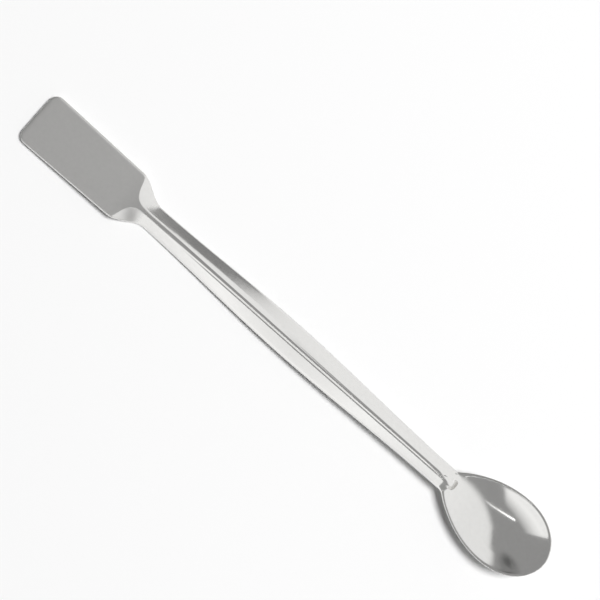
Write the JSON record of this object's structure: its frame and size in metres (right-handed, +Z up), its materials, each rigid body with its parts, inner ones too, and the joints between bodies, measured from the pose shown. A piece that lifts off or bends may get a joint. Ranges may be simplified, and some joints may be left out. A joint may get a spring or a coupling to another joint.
{
  "type": "lab spatula",
  "caption": "Pressed stainless steel spoon spatula: flat blade at one end, egg-shaped spoon at the other, and a folded ridge handle open underneath, for scooping and scraping powders.",
  "frame": {"origin": "centre of the bounding box in plan, on the surface that the spatula lies on", "axes": "+X along the length from the blade to the spoon, +Y across, +Z up with the bowl open upward"},
  "size_m": [0.2, 0.0236, 0.0078],
  "materials": {
    "steel": "satin polished stainless steel, brighter on the folded sides and in the bowl"
  },
  "bodies": {
    "root": {"spatula": "steel"}
  },
  "joints": []
}
